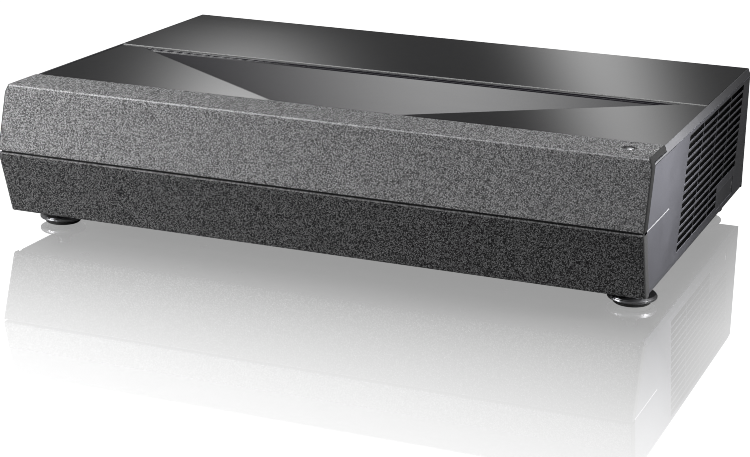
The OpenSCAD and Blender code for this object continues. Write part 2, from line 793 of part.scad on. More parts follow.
// A wheel on a hub, with the shaft that its motor holds.
module wheel(x, y, z, disc_r, disc_t) {
    turned_y(x, z) polygon([[0, y], [8, y], [8, y + 4], [disc_r, y + 4],
        [disc_r, y + 4 + disc_t], [8, y + 4 + disc_t], [8, y + 9], [1.2, y + 9],
        [1.2, y + 15], [0, y + 15]]);
}

module phosphor_wheel() { color("#d9c451") wheel(105, 22, 72, 23, 1.2); }
module colour_wheel() { color("#6fa3c7") wheel(46, 56, 72, 19.5, 1); }

module wheel_motors() {
    color("#8f9195") for (p = [[105, 31.4], [46, 65.4]]) difference() {
        rod_y(p.x, p.y, p.y + 10, 72, 9);
        rod_y(p.x, p.y - e, p.y + 8, 72, 1.2 + fit);
        box([p.x - 10, p.y - e, 60], [p.x + 10, p.y + 11, 64]);
    }
}

/* ---- Cooling ---- */

// One fan's frame, open along X, with three struts to a motor seat.
module fan_frame(y) {
    inner = fan_x - fan_t / 2;
    difference() {
        box([inner, y - fan_size / 2, fan_z - fan_size / 2],
            [inner + fan_t, y + fan_size / 2, fan_z + fan_size / 2]);
        rod_x(inner - e, inner + fan_t + e, y, fan_z, fan_size / 2 - 1.4);
        for (a = [-1, 1], b = [-1, 1])
            rod_x(inner - e, inner + fan_t + e, y + a * (fan_size / 2 - 4.2),
                fan_z + b * (fan_size / 2 - 4.2), 2.1);
    }
    difference() {
        union() {
            rod_x(inner, inner + 3, y, fan_z, 15);
            rod_x(inner + 2, inner + 8.4, y, fan_z, 9);
        }
        rod_x(inner + 1, inner + 9, y, fan_z, 1.5 + fit);
    }
    for (a = [30 : 120 : 270]) translate([inner, y, fan_z]) rotate([a, 0, 0])
        translate([0, -1.6, 13]) cube([3, 3.2, fan_size / 2 - 13]);
}

module fan_frames() {
    color("#242426") for (y = fan_y, m = [0, 1]) mirror([m, 0, 0]) fan_frame(y);
}

// Seven pitched blades on a hub, and the shaft that the frame holds.
module rotor(y) {
    x0 = fan_x - fan_t / 2 + 3.4;
    x1 = fan_x + fan_t / 2 - 1;
    tip = fan_size / 2 - 2.4;
    difference() {
        rod_x(x0, x1, y, fan_z, 14.5);
        rod_x(x0 - e, x0 + 6, y, fan_z, 11);
    }
    rod_x(x0 - 1.6, x0 + 7, y, fan_z, 1.5);
    intersection() {
        rod_x(x0 + 1, x1 - 1, y, fan_z, tip);
        for (i = [0 : 6]) translate([(x0 + x1) / 2, y, fan_z]) rotate([i * 360 / 7, 0, 0])
            rotate([0, 0, 38]) translate([-14, -0.7, 13]) cube([28, 1.4, 30]);
    }
}

module left_front_rotor() { color("#37373a") mirror([1, 0, 0]) rotor(fan_y[0]); }
module left_rear_rotor() { color("#37373a") mirror([1, 0, 0]) rotor(fan_y[1]); }
module right_front_rotor() { color("#37373a") rotor(fan_y[0]); }
module right_rear_rotor() { color("#37373a") rotor(fan_y[1]); }

/* ---- Sound ---- */

// A box behind the baffle, stepped up over the front foot.
module speaker_boxes() {
    color("#28282a") for (m = [0, 1]) mirror([m, 0, 0]) difference() {
        union() {
            along_y(baffle_y + 3.2, -106) polygon([[112, 28], [243, 28], [243, 46], [270, 46],
                [270, 104], [112, 104]]);
            for (p = speaker_xy) rod_z(p.x, p.y, 22.1, 29, 4);
        }
        along_y(baffle_y + 3, -108.4) polygon([[114.4, 32], [240.6, 32], [240.6, 48.4],
            [267.6, 48.4], [267.6, 101.6], [114.4, 101.6]]);
        for (p = speaker_xy) rod_z(p.x, p.y, 21, 31, screw_r + fit);
        rod_y(126, -110, -100, 50, 6);
    }
}

// A driver's basket, magnet and flange, turned around its own axis.
module woofer_basket(x) {
    turned_y(x, speaker_z) polygon([[29.6, baffle_y - 2.6], [36, baffle_y - 2.6],
        [36, baffle_y - 0.2], [30.6, baffle_y - 0.2], [30.6, baffle_y + 3],
        [20, baffle_y + 24], [20, baffle_y + 40], [0, baffle_y + 40], [0, baffle_y + 27],
        [8, baffle_y + 27], [8, baffle_y + 37], [10.6, baffle_y + 37], [10.6, baffle_y + 24],
        [18.4, baffle_y + 24], [29.6, baffle_y + 2]]);
}

module speaker_baskets() {
    color("#4c4e52") for (s = [-1, 1]) {
        woofer_basket(s * woofer_x);
        turned_y(s * tweeter_x, speaker_z) polygon([[0, baffle_y - 1.5], [9, baffle_y - 1.5],
            [11, baffle_y - 2.4], [19, baffle_y - 2.4], [19, baffle_y - 0.2],
            [14.6, baffle_y - 0.2], [14.6, baffle_y + 14], [0, baffle_y + 14]]);
    }
}

// Cone, roll surround, dust cap and coil former, which travel together.
module woofer_cone(x) {
    y = baffle_y;
    color("#1d1d1f") turned_y(x, speaker_z) polygon([[0, y + 9], [5, y + 9.6], [9, y + 12],
        [24, y + 1.6], [25.2, y - 0.6], [26.8, y - 1.4], [28.2, y - 0.6], [28.7, y + 0.4],
        [27.8, y + 0.4], [26.8, y - 0.4], [25.9, y + 0.4], [24.8, y + 2.4], [10.2, y + 13.4],
        [10.2, y + 30], [9.4, y + 30], [9.4, y + 13.6], [8.6, y + 12.8], [4.8, y + 10.6],
        [0, y + 10]]);
}

module left_woofer_cone() { woofer_cone(-woofer_x); }
module right_woofer_cone() { woofer_cone(woofer_x); }

/* ---- Electronics ---- */

module main_board() {
    color("#1f5a34") difference() {
        box([-236, 62, board_z], [-60, 177.5, board_z + 1.6]);
        for (p = board_post_xy) rod_z(p.x, p.y, board_z - e, board_z + 2, 1.6);
    }
    color("#b4b7ba") {
        box([-190, 90, board_z + 1.5], [-146, 134, board_z + 6]);
        for (i = [0 : 8]) box([-190 + i * 5.3, 90, board_z + 5], [-188.4 + i * 5.3, 134, board_z + 20]);
    }
    color("#222224") {
        for (i = [0 : 3]) box([-135 + i * 16, 100, board_z + 1.5], [-123 + i * 16, 118, board_z + 2.8]);
        for (i = [0 : 4]) rod_z(-224, 82 + i * 14, board_z + 1.5, board_z + 12, 4);
        box([-120, 70, board_z + 1.5], [-84, 76, board_z + 7]);
    }
}

// A socket that opens to the rear, given as [x, width, height, depth, wall].
module socket(k) {
    x = k[0];
    w = k[1];
    h = k[2];
    deep = k[3];
    t = k[4];
    z0 = board_z + 1.65;
    difference() {
        box([x - w / 2, socket_y - deep, z0], [x + w / 2, socket_y, z0 + h]);
        box([x - w / 2 + t, socket_y - deep + 2, z0 + t], [x + w / 2 - t, socket_y + e, z0 + h - t]);
    }
    box([x - w / 4, socket_y - deep + 1, z0 + h * 0.42], [x + w / 4, socket_y - 7, z0 + h * 0.58]);
}

module io_connectors() {
    color("#b9bcc0") for (k = concat(hdmi, usb, lan)) socket(k);
    color("#2a2a2c") {
        for (k = optical) socket(k);
        difference() {
            union() {
                box([jack_x - 5.5, socket_y - 16, board_z + 1.65], [jack_x + 5.5, 187, board_z + 12.65]);
                rod_y(jack_x, 186, socket_y, board_z + 7.2, 3);
            }
            rod_y(jack_x, socket_y - 14, socket_y + e, board_z + 7.2, 1.8);
        }
    }
}

module power_supply() {
    z = 37.5;
    color("#8a5a2c") difference() {
        union() {
            box([-236, -66, 36], [-76, 44, 37.6]);
            for (p = supply_xy) rod_z(p.x, p.y, 22.1, 36.5, 3.6);
        }
        for (p = supply_xy) rod_z(p.x, p.y, 21, 38, screw_r + fit);
    }
    color("#c9a23a") {
        box([-150, -50, z], [-112, -14, 74]);
        box([-150, 4, z], [-122, 32, 66]);
    }
    color("#222224") {
        for (x = [-210, -186], y = [-44, -18]) rod_z(x, y, z, 80, 11);
        for (i = [0 : 3]) rod_z(-96, -46 + i * 20, z, 58, 7);
    }
    color("#b4b7ba") for (y = [4, 20]) box([-218, y, z], [-160, y + 3, 72]);
}

// Mains inlet for an appliance coupler: flanged body, and three blades in its well.
module ac_inlet() {
    y1 = hd - 0.6;
    color("#161618") difference() {
        union() {
            box([194, y1 - 24, 33], [224, y1, 57]);
            box([194, hd - wall - 3.6, 30], [224, hd - wall - 0.2, 60]);
        }
        box([197, y1 - 18, 36], [221, y1 + e, 54]);
    }
    color("#c8c9cc") for (x = [-7, 0, 7])
        box([209 + x - 1, y1 - 19, 43], [209 + x + 1, y1 - 3, 47]);
}

/* ---- Feet and fasteners ---- */

// The turning part of a foot: a milled disc with a groove in its rim, and a screw.
module foot(i) {
    p = foot_xy[i];
    color("#a9abaf") translate([p.x, p.y, 0]) rotate_extrude() polygon([
        [0, 3.6], [foot_r - 1.8, 3.6], [foot_r - 0.4, 4.4], [foot_r, 5], [foot_r, 6.2],
        [foot_r - 0.5, 6.7], [foot_r - 0.5, 7.1], [foot_r - 1.4, 7.9], [9, 8.5], [8, 13.6],
        [foot_screw_r, 13.6], [foot_screw_r, 37], [foot_screw_r - 0.8, 38], [0, 38]]);
}

// The rubber pad under a foot, which stays still while the disc turns on it.
module pad(i) {
    p = foot_xy[i];
    color("#0d0d0e") translate([p.x, p.y, 0]) rotate_extrude() polygon([
        [0, 0], [foot_r - 5.6, 0], [foot_r - 4.8, 0.7], [foot_r - 4.2, 3.5], [0, 3.5]]);
}

// A screw along Z with its head at the bottom and a hexagon socket in it.
module screw() {
    difference() {
        union() {
            cylinder(r = 3.2, h = 1.7, $fn = 32);
            cylinder(r = screw_r, h = 10.5, $fn = 32);
        }
        translate([0, 0, -e]) cylinder(r = 1.3, h = 1.6, $fn = 6);
    }
}

module case_screws() {
    color("#303134") {
        for (p = screw_xy) translate([p.x, p.y, underside_z + 0.1]) screw();
        for (p = board_post_xy) translate([p.x, p.y, board_z + 3.4]) rotate([180, 0, 0]) screw();
        for (x = rear_screw_x, z = rear_screw_z)
            translate([x, hd - 0.15, z]) rotate([90, 0, 0]) screw();
    }
}

base_tray();
left_side_panel();
right_side_panel();
rear_panel();
top_cover();
rear_lid();
left_top_rail();
right_top_rail();
lens_bay();
exit_window();
front_baffle();
grille_frame();
upper_fabric();
lower_fabric();
accent_strips();
service_cover();
vent_screens();
power_button();
button_bezel();
button_board();
status_lights();
aspheric_mirror();
mirror_bracket();
lens_barrel();
fixed_lenses();
focus_lens_group();
focus_ring();
focus_pinion();
focus_motor();
light_engine_case();
relay_optics();
dmd_board();
dmd_heatsink();
laser_module();
laser_heatsink();
phosphor_wheel();
colour_wheel();
wheel_motors();
fan_frames();
left_front_rotor();
left_rear_rotor();
right_front_rotor();
right_rear_rotor();
speaker_boxes();
speaker_baskets();
left_woofer_cone();
right_woofer_cone();
main_board();
io_connectors();
power_supply();
ac_inlet();
foot(0);  // front_left_foot
foot(1);  // front_right_foot
foot(2);  // rear_left_foot
foot(3);  // rear_right_foot
pad(0);  // front_left_pad
pad(1);  // front_right_pad
pad(2);  // rear_left_pad
pad(3);  // rear_right_pad
case_screws();
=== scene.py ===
"""Looks of the home projector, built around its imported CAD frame. Metres; the front faces -Y."""
import math

import bpy
import bmesh
from mathutils import Matrix, Vector

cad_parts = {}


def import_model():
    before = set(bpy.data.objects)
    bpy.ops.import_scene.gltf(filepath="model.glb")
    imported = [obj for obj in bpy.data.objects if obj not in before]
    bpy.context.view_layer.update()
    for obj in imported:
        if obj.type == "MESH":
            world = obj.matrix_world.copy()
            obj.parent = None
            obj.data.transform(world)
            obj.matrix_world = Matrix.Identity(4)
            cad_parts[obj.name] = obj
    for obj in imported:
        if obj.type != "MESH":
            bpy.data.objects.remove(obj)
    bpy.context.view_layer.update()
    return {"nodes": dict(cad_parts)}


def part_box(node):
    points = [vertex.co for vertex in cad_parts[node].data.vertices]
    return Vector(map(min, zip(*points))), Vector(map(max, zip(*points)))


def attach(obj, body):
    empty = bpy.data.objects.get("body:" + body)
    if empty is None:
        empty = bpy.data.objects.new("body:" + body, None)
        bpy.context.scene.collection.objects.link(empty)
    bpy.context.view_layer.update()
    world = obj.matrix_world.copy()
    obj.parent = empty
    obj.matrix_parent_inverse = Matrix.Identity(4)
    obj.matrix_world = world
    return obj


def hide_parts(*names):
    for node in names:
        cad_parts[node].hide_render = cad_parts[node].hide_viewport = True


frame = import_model()
NODES = frame["nodes"]
MM = 0.001

# Places on the object in mm: the power button, the optical axis (turned parts), and the phosphor wheel.
BUTTON = (254.9, -150.5)
OPTICAL_AXIS = (0, 0, 66)
PHOSPHOR_AXIS = (105, 0, 72)
# The lid's front edge, where a light band is painted, and the satin skin of the side panels, beyond this
# distance from the middle; inward of it the panels get painted shade.
LID_FRONT = 23.0
PANEL_SKIN = 279.55
# A near black painted shade, for the side panels' insides and for forward-facing faces of painted parts.
PAINTED_SHADE = (0.004, 0.004, 0.0045)


# ---------------------------------------------------------------- camera

def camera():
    """A long lens, from the front right and a little above, with a slight roll."""
    azimuth, elevation, roll = math.radians(21.353), math.radians(16.695), math.radians(1.336)
    back = Vector((math.sin(azimuth) * math.cos(elevation), -math.cos(azimuth) * math.cos(elevation),
                   math.sin(elevation)))
    right = Vector((0, 0, 1)).cross(back).normalized()
    up = back.cross(right)
    right, up = (right * math.cos(roll) + up * math.sin(roll), up * math.cos(roll) - right * math.sin(roll))
    data = bpy.data.cameras.new("camera")
    data.lens, data.sensor_width, data.clip_start, data.clip_end = 94.6, 36, 0.05, 50
    cam = bpy.data.objects.new("camera", data)
    cam.matrix_world = Matrix.Translation((0.60684, -1.5791, 0.50015)) @ Matrix(
        (right, up, back)).transposed().to_4x4()
    bpy.context.scene.collection.objects.link(cam)
    bpy.context.scene.camera = cam


# ---------------------------------------------------------------- node graphs

class Graph:
    """A small builder for node trees. Sockets or numbers go in, and the output socket comes back."""

    def __init__(self, tree):
        self.tree = tree

    def node(self, kind, inputs=None, out=0, **props):
        n = self.tree.nodes.new(kind)
        for key, value in props.items():
            setattr(n, key, value)
        for key, value in (inputs or {}).items():
            if isinstance(value, bpy.types.NodeSocket):
                self.tree.links.new(value, n.inputs[key])
            else:
                n.inputs[key].default_value = value
        return n.outputs[out]

    def math(self, op, a, b=0.0, c=0.0):
        return self.node("ShaderNodeMath", {0: a, 1: b, 2: c}, operation=op)

    def place(self, mm=1.0, offset=(0, 0, 0), stretch=(1, 1, 1)):
        """Position on the object in units of mm millimetres."""
        p = self.node("ShaderNodeTexCoord", out="Object")
        s = [1000 / mm * k for k in stretch]
        return self.node("ShaderNodeMapping", {"Vector": p, "Scale": s,
                                               "Location": [-o * k for o, k in zip(offset, s)]})

    def axis(self, vector, which):
        return self.node("ShaderNodeSeparateXYZ", {0: vector}, out=which)

    def noise(self, vector, scale=1.0, detail=2.0, rough=0.5):
        return self.node("ShaderNodeTexNoise", {"Vector": vector, "Scale": scale, "Detail": detail,
                                                "Roughness": rough}, out="Fac")

    def cells(self, vector, scale=1.0, out="Distance", feature="F1"):
        return self.node("ShaderNodeTexVoronoi", {"Vector": vector, "Scale": scale}, out=out, feature=feature)

    def speck(self, vector):
        """A random number for each whole-number cell of vector."""
        cell = self.node("ShaderNodeVectorMath", {0: vector}, operation="FLOOR")
        return self.node("ShaderNodeTexWhiteNoise", {"Vector": cell}, out="Value")

    def span(self, value, a, b, low=0.0, high=1.0):
        return self.node("ShaderNodeMapRange", {"Value": value, "From Min": a, "From Max": b,
                                                "To Min": low, "To Max": high})

    def step(self, value, edge, soft=0.0001):
        return self.span(value, edge - soft, edge + soft)

    def mix(self, factor, a, b):
        n = self.tree.nodes.new("ShaderNodeMix")
        n.data_type = "RGBA"
        for socket, value in ((n.inputs[0], factor), (n.inputs[6], a), (n.inputs[7], b)):
            if isinstance(value, bpy.types.NodeSocket):
                self.tree.links.new(value, socket)
            else:
                socket.default_value = value if isinstance(value, (int, float)) else (*value[:3], 1)
        return n.outputs[2]

    def ramp(self, value, *stops):
        n = self.tree.nodes.new("ShaderNodeValToRGB")
        self.tree.links.new(value, n.inputs[0])
        while len(n.color_ramp.elements) < len(stops):
            n.color_ramp.elements.new(0.5)
        for element, (at, colour) in zip(n.color_ramp.elements, stops):
            element.position = at
            element.color = (*colour, 1) if hasattr(colour, "__len__") else (colour, colour, colour, 1)
        return n.outputs[0]

    def bump(self, height, depth_mm, strength=1.0):
        return self.node("ShaderNodeBump", {"Height": height, "Distance": depth_mm * MM,
                                            "Strength": strength}, out="Normal")


class Material(Graph):
    """A node tree with a Principled shader. set() takes a constant or the socket of a pattern."""

    def __init__(self, name, colour=(0.5, 0.5, 0.5), rough=0.5, metal=0.0, **more):
        self.data = bpy.data.materials.new(name)
        self.data.use_nodes = True
        super().__init__(self.data.node_tree)
        self.shader = self.tree.nodes["Principled BSDF"]
        self.set("Base Color", colour)
        self.set("Roughness", rough)
        self.set("Metallic", metal)
        for key, value in more.items():
            self.set(key.replace("_", " "), value)

    def set(self, name, value):
        socket = self.shader.inputs[name]
        if isinstance(value, bpy.types.NodeSocket):
            self.tree.links.new(value, socket)
        elif name == "Base Color":
            socket.default_value = (*value[:3], 1)
        else:
            socket.default_value = value


def shade(colour, k):
    """A colour made lighter or darker."""
    return tuple(c * k for c in colour)


# ---------------------------------------------------------------- materials

def moulded(name, colour, rough=0.55, grain=0.35, depth=0.03):
    """Injection-moulded plastic: a spark-eroded grain, with faint flow marks in its gloss."""
    m = Material(name, colour, rough)
    fine = m.cells(m.place(grain))
    flow = m.noise(m.place(40), 1.0, 3)
    m.set("Normal", m.bump(fine, depth, 0.5))
    m.set("Roughness", m.span(flow, 0.3, 0.7, rough - 0.07, rough + 0.08))
    dust = m.noise(m.place(12), 1.0, 4)
    dusty = tuple(c * 1.25 + 0.004 for c in colour)
    m.set("Base Color", m.ramp(m.span(dust, 0.35, 0.75), (0, colour), (1, dusty)))
    return m.data


def gloss(name, colour, rough=0.035, grain=0.0):
    """Piano gloss over a dark pigment: a trace of orange peel, wiped dust, and with grain a fine pearl."""
    m = Material(name, colour, rough, Specular_IOR_Level=0.5)
    peel = m.noise(m.place(3.0), 1.0, 1)
    m.set("Normal", m.bump(peel, 0.0006, 1.0))
    wipe = m.noise(m.place(60, stretch=(0.35, 1.6, 1)), 1.0, 5, 0.6)
    m.set("Roughness", m.span(wipe, 0.35, 0.7, rough * 0.85, rough * 1.3))
    dust = m.noise(m.place(7), 1.0, 5, 0.7)
    tone = m.span(dust, 0.35, 0.75, 0.0, 1.0)
    if grain:
        speck = m.axis(m.cells(m.place(0.55), out="Color"), 0)
        tone = m.math("ADD", m.math("MULTIPLY", tone, 1 - grain), m.math("MULTIPLY", speck, grain))
    m.set("Base Color", m.ramp(tone, (0, shade(colour, 0.8)), (1, shade(colour, 1.3))))
    return m.data


def paint(name, colour, rough=0.38, metal=0.55, skin=None):
    """Satin metallic paint: fine flakes, a soft orange peel. With skin, the paint's colour holds only on the
    outside, beyond that distance from the middle in mm, and on the low rim; elsewhere a near black painted
    shade stands in. Its upward-facing edges behind the grille's front get a painted highlight, 5.5 times
    lighter. Forward-facing faces get a painted shade."""
    m = Material(name, colour, rough, metal)
    flake = m.axis(m.cells(m.place(0.28), out="Color"), 0)
    cloud = m.noise(m.place(30), 1.0, 3)
    tone = m.math("ADD", m.math("MULTIPLY", flake, 0.5), m.math("MULTIPLY", cloud, 0.5))
    painted = m.ramp(tone, (0.15, shade(colour, 0.82)), (0.85, shade(colour, 1.18)))
    if skin:
        grille_front, rim = -95, 24.5
        p = m.place(1.0)
        up = m.axis(m.node("ShaderNodeNewGeometry", out="Normal"), 2)
        # Painted highlight: upward-facing edges behind the grille's front, 5.5 times lighter.
        highlight_shelf = m.math("MULTIPLY", m.span(up, 0.25, 0.6), m.step(m.axis(p, 1), grille_front, 1))
        painted = m.mix(highlight_shelf, painted, shade(colour, 5.5))
        # Painted shade inside the skin, except on the low rim.
        outside = m.step(m.math("ABSOLUTE", m.axis(p, 0)), skin, 0.06)
        low = m.math("LESS_THAN", m.axis(p, 2), rim)
        painted = m.mix(m.math("MAXIMUM", outside, low), PAINTED_SHADE, painted)
    # Painted shade on forward-facing faces.
    ahead = m.math("MULTIPLY", m.axis(m.node("ShaderNodeNewGeometry", out="Normal"), 1), -1.0)
    m.set("Base Color", m.mix(m.step(ahead, 0.7, 0.05), painted, PAINTED_SHADE))
    peel = m.noise(m.place(0.9), 1.0, 2)
    m.set("Normal", m.bump(peel, 0.006, 0.6))
    m.set("Roughness", m.span(cloud, 0.3, 0.7, rough - 0.04, rough + 0.05))
    return m.data


def heather(name, dark, light, lean, pitch, bright, gain, ends, steep):
    """Woven melange speaker cloth: threads cross on the diagonal, each fleck spun from dark and light fibres.
    lean is how far the weave's upward axis follows Y and Z, and pitch the thread's in mm.
    bright lists (axis, low mm, high mm, other axis, its least mm): bands along edges with a painted
    highlight, gain times as light. ends is how light the painted shade leaves the cloth where it wraps round
    the ends, and steep is the range of tone over which it goes from dark to light."""
    m = Material(name, light, 0.9, Specular_IOR_Level=0.15, Sheen_Weight=0.05, Sheen_Roughness=0.5)
    p = m.place(1.0)
    x, y, z = (m.axis(p, i) for i in range(3))
    u = m.math("ADD", x, m.math("MULTIPLY", y, 0.25))
    v = m.math("ADD", m.math("MULTIPLY", y, lean[0]), m.math("MULTIPLY", z, lean[1]))
    diagonal = pitch * 1.414
    a = m.math("DIVIDE", m.math("ADD", u, v), diagonal)
    b = m.math("DIVIDE", m.math("SUBTRACT", u, v), diagonal)
    fleck = m.speck(m.node("ShaderNodeCombineXYZ", {0: a, 1: b}))
    # A thread's own tone runs along it for a few crossings.
    long_a = m.speck(m.node("ShaderNodeCombineXYZ", {0: a, 1: m.math("MULTIPLY", b, 0.3), 2: 3.0}))
    long_b = m.speck(m.node("ShaderNodeCombineXYZ", {0: m.math("MULTIPLY", a, 0.3), 1: b, 2: 9.0}))
    over = m.math("PINGPONG", m.math("ADD", m.math("FLOOR", a), m.math("FLOOR", b)), 1.0)
    thread = m.math("ADD", m.math("MULTIPLY", long_a, over),
                    m.math("MULTIPLY", long_b, m.math("SUBTRACT", 1.0, over)))
    fibre = m.noise(m.place(0.35), 1.0, 2)
    cloud = m.noise(m.place(9), 1.0, 3)
    tone = m.math("ADD", m.math("MULTIPLY", fleck, 0.75), m.math("MULTIPLY", thread, 0.15))
    tone = m.math("ADD", tone, m.math("MULTIPLY", fibre, 0.08))
    tone = m.math("ADD", tone, m.math("MULTIPLY", cloud, 0.02))
    # Each crossing is a low dome with dark gaps at its corners.
    da = m.math("ABSOLUTE", m.math("SUBTRACT", m.math("FRACT", a), 0.5))
    db = m.math("ABSOLUTE", m.math("SUBTRACT", m.math("FRACT", b), 0.5))
    edge = m.math("MAXIMUM", da, db)
    dome = m.span(edge, 0.5, 0.1)
    middle = tuple((p + q) / 2 * 0.85 for p, q in zip(dark, light))
    colour = m.ramp(tone, (steep[0], dark), (sum(steep) / 2, middle), (steep[1], light))
    colour = m.mix(m.span(edge, 0.3, 0.5, 0.0, 0.7), colour, shade(dark, 0.4))
    # Painted highlight along each listed edge.
    for which, low, high, other, least in bright:
        at = m.axis(p, which)
        band = m.math("MULTIPLY", m.step(at, low, 0.25), m.math("SUBTRACT", 1.0, m.step(at, high, 0.25)))
        band = m.math("MULTIPLY", band, m.step(m.axis(p, other), least, 0.25))
        edge_highlight = m.ramp(fleck, (0.0, shade(light, gain * 0.35)), (0.8, shade(light, gain)))
        colour = m.mix(m.math("MULTIPLY", band, 0.75), colour, edge_highlight)
    # Painted shade where the cloth wraps round the ends.
    slope = m.math("MULTIPLY", m.math("MAXIMUM", m.math("SUBTRACT", z, RAIL_SEAM), 0.0), BEVEL)
    end_shade = m.step(m.math("ADD", m.math("ABSOLUTE", x), slope), HALF - 0.6, 0.3)
    m.set("Base Color", m.mix(end_shade, colour, shade(light, 0.45 * ends)))
    height = m.math("ADD", dome, m.math("MULTIPLY", fibre, 0.5))
    m.set("Normal", m.bump(height, 0.2, 0.8))
    return m.data


def metal(name, colour, rough=0.25, axis=None, centre=(0, 0, 0)):
    """Bare or plated metal. With axis, fine turning marks run round that axis."""
    m = Material(name, colour, rough, 1.0)
    if axis is None:
        grain = m.noise(m.place(1.2, stretch=(0.15, 1, 1)), 1.0, 4)
    else:
        p = m.place(1.0, offset=centre)
        others = [i for i in range(3) if i != axis]
        r = m.math("SQRT", m.math("ADD", m.math("POWER", m.axis(p, others[0]), 2.0),
                                  m.math("POWER", m.axis(p, others[1]), 2.0)))
        grain = m.noise(m.node("ShaderNodeCombineXYZ", {0: r, 1: m.axis(p, axis)}), 3.0, 3)
    m.set("Roughness", m.span(grain, 0.3, 0.7, rough * 0.7, rough * 1.35))
    m.set("Normal", m.bump(grain, 0.01, 0.5))
    stain = m.noise(m.place(8), 1.0, 3)
    m.set("Base Color", m.ramp(stain, (0.3, shade(colour, 0.86)), (0.7, colour)))
    return m.data


def glass(name, colour, rough=0.02, coat=(0.2, 0.1, 0.5)):
    """Glass with an anti-reflection coat that tints it at a slant, and a little haze."""
    m = Material(name, colour, rough, 0.0, IOR=1.5, Transmission_Weight=0.9)
    film = m.node("ShaderNodeLayerWeight", {"Blend": 0.35}, out="Facing")
    m.set("Base Color", m.mix(film, colour, tuple(c * 0.5 + k * 0.5 for c, k in zip(colour, coat))))
    haze = m.noise(m.place(14), 1.0, 4)
    m.set("Roughness", m.span(haze, 0.4, 0.8, rough, rough + 0.03))
    return m.data


def rubber(name):
    """Moulded black rubber, grained and a little dusty."""
    m = Material(name, (0.012, 0.012, 0.013), 0.72)
    grain = m.noise(m.place(0.5), 1.0, 4)
    m.set("Normal", m.bump(grain, 0.05, 0.6))
    m.set("Roughness", m.span(m.noise(m.place(6), 1.0, 3), 0.3, 0.7, 0.62, 0.85))
    m.set("Base Color", m.ramp(grain, (0.3, (0.008,) * 3), (0.75, (0.022,) * 3)))
    return m.data


def board(name, top_m, mask=(0.012, 0.09, 0.035), horizontal=True):
    """Solder mask over copper tracks and pads, and dark packages above top_m."""
    m = Material(name, mask, 0.35)
    p = m.place(1.0)
    flat = m.node("ShaderNodeCombineXYZ", {0: m.axis(p, 0), 1: m.axis(p, 1 if horizontal else 2)})
    lines = m.cells(m.node("ShaderNodeVectorMath", {0: flat, 1: (0.16, 0.4, 1)}, operation="MULTIPLY"),
                    feature="DISTANCE_TO_EDGE")
    track = m.span(lines, 0.03, 0.06, 1.0, 0.0)
    dots = m.cells(m.node("ShaderNodeVectorMath", {0: flat, 1: (0.45, 0.45, 1)}, operation="MULTIPLY"))
    pads = m.span(dots, 0.16, 0.2, 1.0, 0.0)
    green = m.mix(track, mask, tuple(c * 2.2 + 0.01 for c in mask))
    copper = m.mix(pads, green, (0.6, 0.5, 0.3))
    height = m.axis(p, 2 if horizontal else 1)
    above = m.step(height, top_m * 1000 + 0.05, 0.02)
    part = m.ramp(m.speck(m.place(9)), (0.0, (0.015, 0.015, 0.016)), (0.6, (0.03, 0.03, 0.032)),
                  (1.0, (0.2, 0.2, 0.21)))
    m.set("Base Color", m.mix(above, copper, part))
    m.set("Roughness", m.span(m.noise(p, 0.8, 2), 0.3, 0.7, 0.28, 0.5))
    m.set("Normal", m.bump(m.math("ADD", track, pads), 0.04, 0.6))
    return m.data


def lit(name, colour, strength):
    """A light pipe that glows faintly and unevenly."""
    m = Material(name, colour, 0.3, 0.0, Emission_Strength=strength)
    glow = m.noise(m.place(0.8), 1.0, 2)
    m.set("Emission Color", m.ramp(glow, (0.3, shade(colour, 0.7)), (0.7, colour)))
    return m.data


def painted_light_band(data, axis, low, high, colour, rough):
    """Paints light or shade into a finish: the band between two places in mm along an axis gets a matt
    colour.
    """
    g = Graph(data.node_tree)
    shader = data.node_tree.nodes["Principled BSDF"]
    at = g.axis(g.place(1.0), axis)
    mask = g.math("MULTIPLY", g.math("GREATER_THAN", at, low), g.math("LESS_THAN", at, high))
    rest = g.math("SUBTRACT", 1.0, mask)
    socket = shader.inputs["Roughness"]
    kept = g.math("MULTIPLY", socket.links[0].from_socket, rest)
    g.tree.links.new(g.math("ADD", kept, g.math("MULTIPLY", mask, rough)), socket)
    socket = shader.inputs["Base Color"]
    g.tree.links.new(g.mix(mask, socket.links[0].from_socket, colour), socket)


